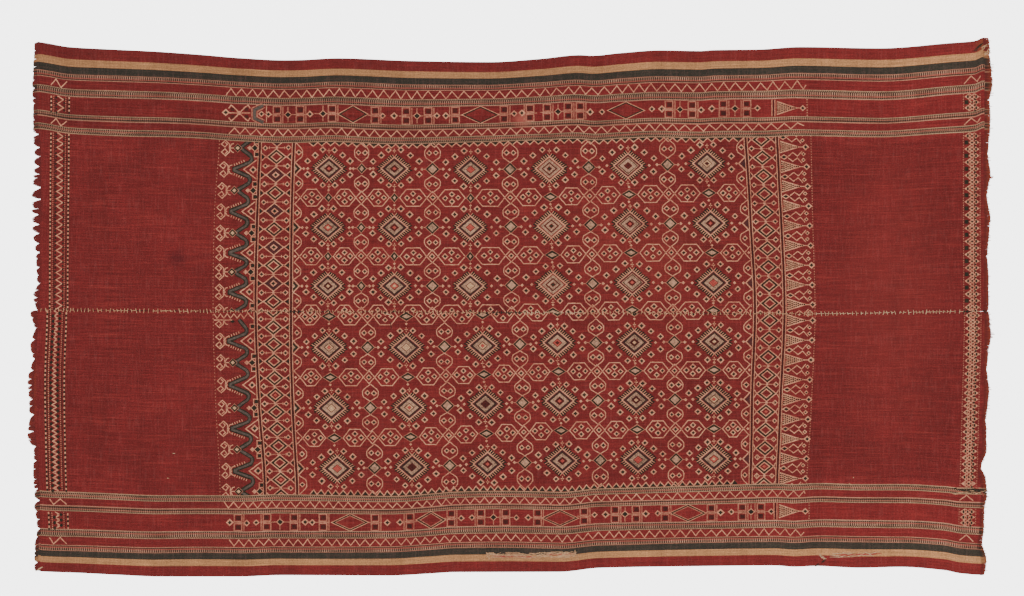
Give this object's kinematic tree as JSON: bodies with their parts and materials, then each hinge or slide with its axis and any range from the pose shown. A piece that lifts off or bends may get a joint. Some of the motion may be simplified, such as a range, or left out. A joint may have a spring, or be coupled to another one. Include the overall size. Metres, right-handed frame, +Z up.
{
  "type": "pua cloth",
  "caption": "Wide handwoven ceremonial cloth, sewn along its middle and laid flat, with striped borders, a figured centre and frayed warp ends.",
  "frame": {"origin": "on the surface that the cloth lies on, under the middle of its outline box", "axes": "+X along the warp towards the right woven end, +Y across towards the upper selvedge, +Z up out of the patterned face"},
  "size_m": [2.0234, 1.132, 0.0048],
  "materials": {
    "cloth": "matt crimson cotton with cream and dark figures",
    "fray": "matt frayed cotton yarn, red to orange-brown"
  },
  "bodies": {
    "root": {"panel_upper": "cloth", "panel_lower": "cloth", "fringe_left_upper": "fray", "fringe_left_lower": "fray", "fringe_right_upper": "fray", "fringe_right_lower": "fray"}
  },
  "joints": []
}
